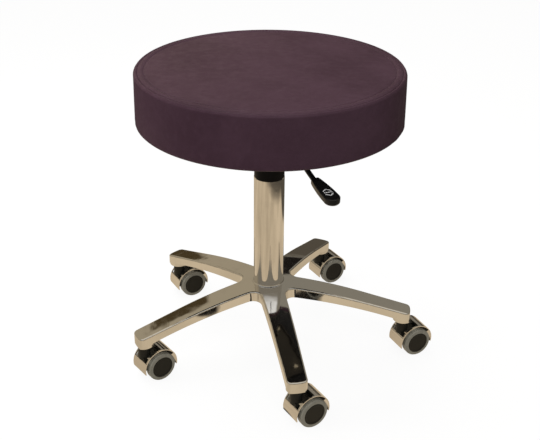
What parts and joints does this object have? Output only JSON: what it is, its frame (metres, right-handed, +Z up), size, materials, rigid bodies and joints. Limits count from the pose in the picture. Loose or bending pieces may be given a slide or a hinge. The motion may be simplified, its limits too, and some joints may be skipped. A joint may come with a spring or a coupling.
{
  "type": "dentist stool",
  "caption": "Round upholstered swivel stool on a gas lift with a chromed star base, twin-wheel casters and a height lever.",
  "frame": {"origin": "on the floor, under the column's axis", "axes": "+Z up along the column; the base's first arm lies near -Y and the lever points between -Y and +X"},
  "size_m": [0.5149, 0.5092, 0.5122],
  "materials": {
    "seat_vinyl": "satin",
    "foam": "matte",
    "plywood": "matte",
    "dust_felt": "matte",
    "base_chrome": "polished",
    "column_chrome": "polished",
    "hood_chrome": "polished",
    "black_plastic": "satin",
    "handle_plastic": "satin",
    "caster_plastic": "satin",
    "tread_grey": "satin",
    "black_paint": "satin",
    "bearing_steel": "satin",
    "zinc_steel": "satin",
    "black_rubber": "matte",
    "nylon": "satin"
  },
  "bodies": {
    "base": {"base_casting": "base_chrome", "column_tube": "column_chrome", "guide_bush": "black_plastic", "thrust_bearing": "bearing_steel", "caster_stems": "bearing_steel", "stem_grip_rings": "bearing_steel"},
    "spindle": {"piston_rod": "bearing_steel", "piston_head": "bearing_steel", "bump_stop": "black_rubber", "rod_clip": "bearing_steel"},
    "seat": {"pressure_tube": "black_paint", "rod_guide_seal": "black_rubber", "taper_socket": "black_paint", "seat_plate": "black_paint", "lever_bushes": "nylon", "seat_board": "plywood", "seat_foam": "foam", "seat_cover_top": "seat_vinyl", "seat_cover_band": "seat_vinyl", "dust_cover": "dust_felt", "tee_nuts": "zinc_steel", "plate_screws": "zinc_steel"},
    "lever": {"lever_rod": "black_paint", "lever_handle": "handle_plastic"},
    "button": {"release_button": "bearing_steel"},
    "caster_1": {"caster_1_hood": "hood_chrome", "caster_1_core": "caster_plastic", "caster_1_axle": "bearing_steel"},
    "caster_1_wheel_a_set": {"caster_1_wheel_a": "caster_plastic", "caster_1_tread_a": "tread_grey"},
    "caster_1_wheel_b_set": {"caster_1_wheel_b": "caster_plastic", "caster_1_tread_b": "tread_grey"},
    "caster_2": {"caster_2_hood": "hood_chrome", "caster_2_core": "caster_plastic", "caster_2_axle": "bearing_steel"},
    "caster_2_wheel_a_set": {"caster_2_wheel_a": "caster_plastic", "caster_2_tread_a": "tread_grey"},
    "caster_2_wheel_b_set": {"caster_2_wheel_b": "caster_plastic", "caster_2_tread_b": "tread_grey"},
    "caster_3": {"caster_3_hood": "hood_chrome", "caster_3_core": "caster_plastic", "caster_3_axle": "bearing_steel"},
    "caster_3_wheel_a_set": {"caster_3_wheel_a": "caster_plastic", "caster_3_tread_a": "tread_grey"},
    "caster_3_wheel_b_set": {"caster_3_wheel_b": "caster_plastic", "caster_3_tread_b": "tread_grey"},
    "caster_4": {"caster_4_hood": "hood_chrome", "caster_4_core": "caster_plastic", "caster_4_axle": "bearing_steel"},
    "caster_4_wheel_a_set": {"caster_4_wheel_a": "caster_plastic", "caster_4_tread_a": "tread_grey"},
    "caster_4_wheel_b_set": {"caster_4_wheel_b": "caster_plastic", "caster_4_tread_b": "tread_grey"},
    "caster_5": {"caster_5_hood": "hood_chrome", "caster_5_core": "caster_plastic", "caster_5_axle": "bearing_steel"},
    "caster_5_wheel_a_set": {"caster_5_wheel_a": "caster_plastic", "caster_5_tread_a": "tread_grey"},
    "caster_5_wheel_b_set": {"caster_5_wheel_b": "caster_plastic", "caster_5_tread_b": "tread_grey"}
  },
  "joints": [
    {"name": "seat_swivel", "type": "hinge", "parent": "base", "child": "spindle", "pos_m": [0, 0, 0.105], "axis": [0, 0, 1], "continuous": true},
    {"name": "seat_lift", "type": "slide", "parent": "spindle", "child": "seat", "axis": [0, 0, 1], "range_m": [-0.03, 0.1]},
    {"name": "lever_lift", "type": "hinge", "parent": "seat", "child": "lever", "pos_m": [0.01994, -0.04585, 0.412], "axis": [-0.9171, -0.3987, 0], "range_deg": [0, 5], "stiffness_Nm_per_rad": 2, "springref_deg": -2.29},
    {"name": "button_press", "type": "slide", "parent": "seat", "child": "button", "axis": [0, 0, 1], "range_m": [-0.0045, 0]},
    {"name": "caster_1_swivel", "type": "hinge", "parent": "base", "child": "caster_1", "pos_m": [0.04451, -0.23115, 0.06], "axis": [0, 0, 1], "continuous": true},
    {"name": "caster_1_roll_a", "type": "hinge", "parent": "caster_1", "child": "caster_1_wheel_a_set", "pos_m": [0.06162, -0.22079, 0.025], "axis": [-0.518, 0.8554, 0], "continuous": true},
    {"name": "caster_1_roll_b", "type": "hinge", "parent": "caster_1", "child": "caster_1_wheel_b_set", "pos_m": [0.06162, -0.22079, 0.025], "axis": [-0.518, 0.8554, 0], "continuous": true},
    {"name": "caster_2_swivel", "type": "hinge", "parent": "base", "child": "caster_2", "pos_m": [0.23359, -0.0291, 0.06], "axis": [0, 0, 1], "continuous": true},
    {"name": "caster_2_roll_a", "type": "hinge", "parent": "caster_2", "child": "caster_2_wheel_a_set", "pos_m": [0.25165, -0.02049, 0.025], "axis": [-0.4305, 0.9026, 0], "continuous": true},
    {"name": "caster_2_roll_b", "type": "hinge", "parent": "caster_2", "child": "caster_2_wheel_b_set", "pos_m": [0.25165, -0.02049, 0.025], "axis": [-0.4305, 0.9026, 0], "continuous": true},
    {"name": "caster_3_swivel", "type": "hinge", "parent": "base", "child": "caster_3", "pos_m": [0.09986, 0.21317, 0.06], "axis": [0, 0, 1], "continuous": true},
    {"name": "caster_3_roll_a", "type": "hinge", "parent": "caster_3", "child": "caster_3_wheel_a_set", "pos_m": [0.11723, 0.22308, 0.025], "axis": [-0.4955, 0.8686, 0], "continuous": true},
    {"name": "caster_3_roll_b", "type": "hinge", "parent": "caster_3", "child": "caster_3_wheel_b_set", "pos_m": [0.11723, 0.22308, 0.025], "axis": [-0.4955, 0.8686, 0], "continuous": true},
    {"name": "caster_4_swivel", "type": "hinge", "parent": "base", "child": "caster_4", "pos_m": [-0.17188, 0.16084, 0.06], "axis": [0, 0, 1], "continuous": true},
    {"name": "caster_4_roll_a", "type": "hinge", "parent": "caster_4", "child": "caster_4_wheel_a_set", "pos_m": [-0.15451, 0.17075, 0.025], "axis": [-0.4955, 0.8686, 0], "continuous": true},
    {"name": "caster_4_roll_b", "type": "hinge", "parent": "caster_4", "child": "caster_4_wheel_b_set", "pos_m": [-0.15451, 0.17075, 0.025], "axis": [-0.4955, 0.8686, 0], "continuous": true},
    {"name": "caster_5_swivel", "type": "hinge", "parent": "base", "child": "caster_5", "pos_m": [-0.20608, -0.11377, 0.06], "axis": [0, 0, 1], "continuous": true},
    {"name": "caster_5_roll_a", "type": "hinge", "parent": "caster_5", "child": "caster_5_wheel_a_set", "pos_m": [-0.19018, -0.10164, 0.025], "axis": [-0.606, 0.7955, 0], "continuous": true},
    {"name": "caster_5_roll_b", "type": "hinge", "parent": "caster_5", "child": "caster_5_wheel_b_set", "pos_m": [-0.19018, -0.10164, 0.025], "axis": [-0.606, 0.7955, 0], "continuous": true}
  ],
  "couplings": [
    {"joint": "button_press", "follows": "lever_lift", "m_per_rad": -0.05}
  ]
}
